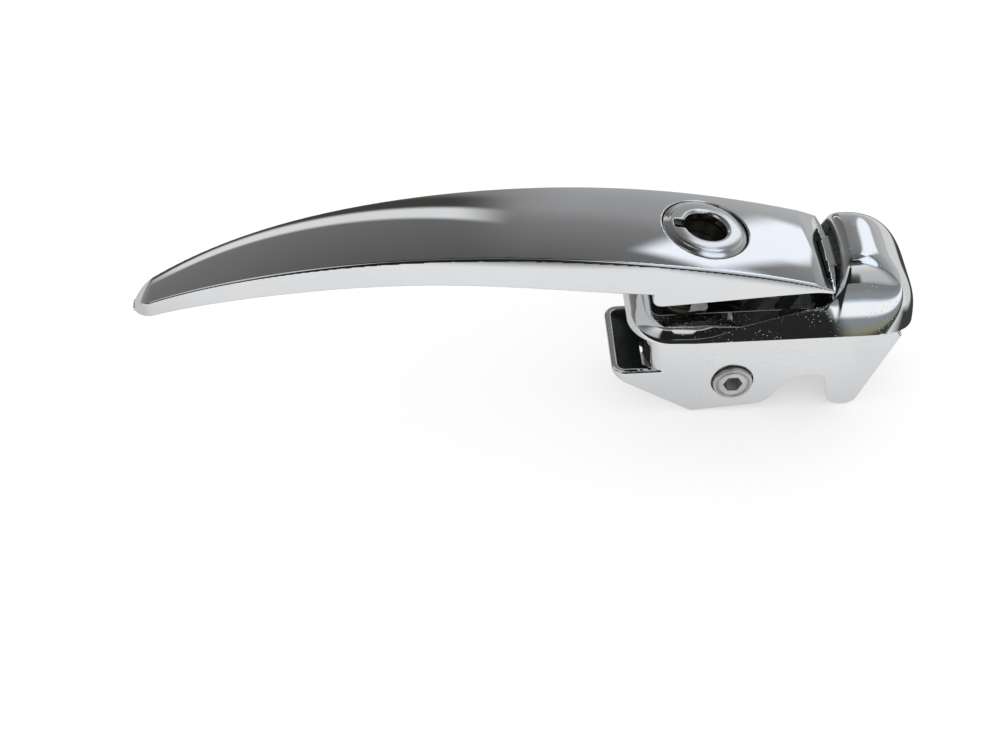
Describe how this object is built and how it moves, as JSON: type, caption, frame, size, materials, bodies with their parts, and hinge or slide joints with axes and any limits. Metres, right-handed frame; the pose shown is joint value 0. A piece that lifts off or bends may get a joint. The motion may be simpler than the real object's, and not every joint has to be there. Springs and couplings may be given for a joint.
{
  "type": "car door handle",
  "caption": "Chrome pull-out car door handle with a key lock in its grip, a hinge housing with a hooked bracket, and a sprung release lever.",
  "frame": {"origin": "outer face of the door skin, mid width, on the seat under the collar's left end", "axes": "+X along the handle towards the hinge end, +Y across it, +Z out of the door"},
  "size_m": [0.1829, 0.028, 0.0529],
  "materials": {
    "chrome": "bright polished plating",
    "zinc_steel": "satin zinc-plated steel",
    "spring_steel": "drawn wire",
    "brass": "machined brass",
    "nylon": "moulded, matte"
  },
  "bodies": {
    "housing": {"housing": "chrome", "hinge_pin": "zinc_steel", "hinge_washer_near": "nylon", "hinge_washer_far": "nylon", "lever_pivot_screw": "zinc_steel", "lever_pivot_nut": "zinc_steel", "lever_pivot_sleeve": "brass", "lever_washer_near": "nylon", "lever_washer_far": "nylon", "return_spring": "spring_steel"},
    "grip": {"grip": "chrome", "lock_cap": "chrome", "lock_barrel": "zinc_steel", "barrel_clip": "spring_steel"},
    "lever": {"trigger_lever": "zinc_steel"},
    "plug": {"lock_plug": "zinc_steel", "lock_cam": "zinc_steel", "cam_screw": "zinc_steel", "wafer_1": "brass", "wafer_spring_1": "spring_steel", "wafer_2": "brass", "wafer_spring_2": "spring_steel", "wafer_3": "brass", "wafer_spring_3": "spring_steel", "wafer_4": "brass", "wafer_spring_4": "spring_steel", "wafer_5": "brass", "wafer_spring_5": "spring_steel"}
  },
  "joints": [
    {"name": "grip_hinge", "type": "hinge", "parent": "housing", "child": "grip", "pos_m": [0.0495, 0, 0.013], "axis": [0, 1, 0], "range_deg": [0, 15]},
    {"name": "lever_pivot", "type": "hinge", "parent": "housing", "child": "lever", "pos_m": [0.0237, 0, -0.0145], "axis": [0, -1, 0], "range_deg": [0, 13], "deforming": ["return_spring"]},
    {"name": "lock_turn", "type": "hinge", "parent": "grip", "child": "plug", "pos_m": [0.0166, 0, 0.0236], "axis": [0.2079, 0, 0.9781], "range_deg": [0, 90]}
  ],
  "couplings": [
    {"joint": "lever_pivot", "follows": "grip_hinge", "ratio": 0.86}
  ]
}
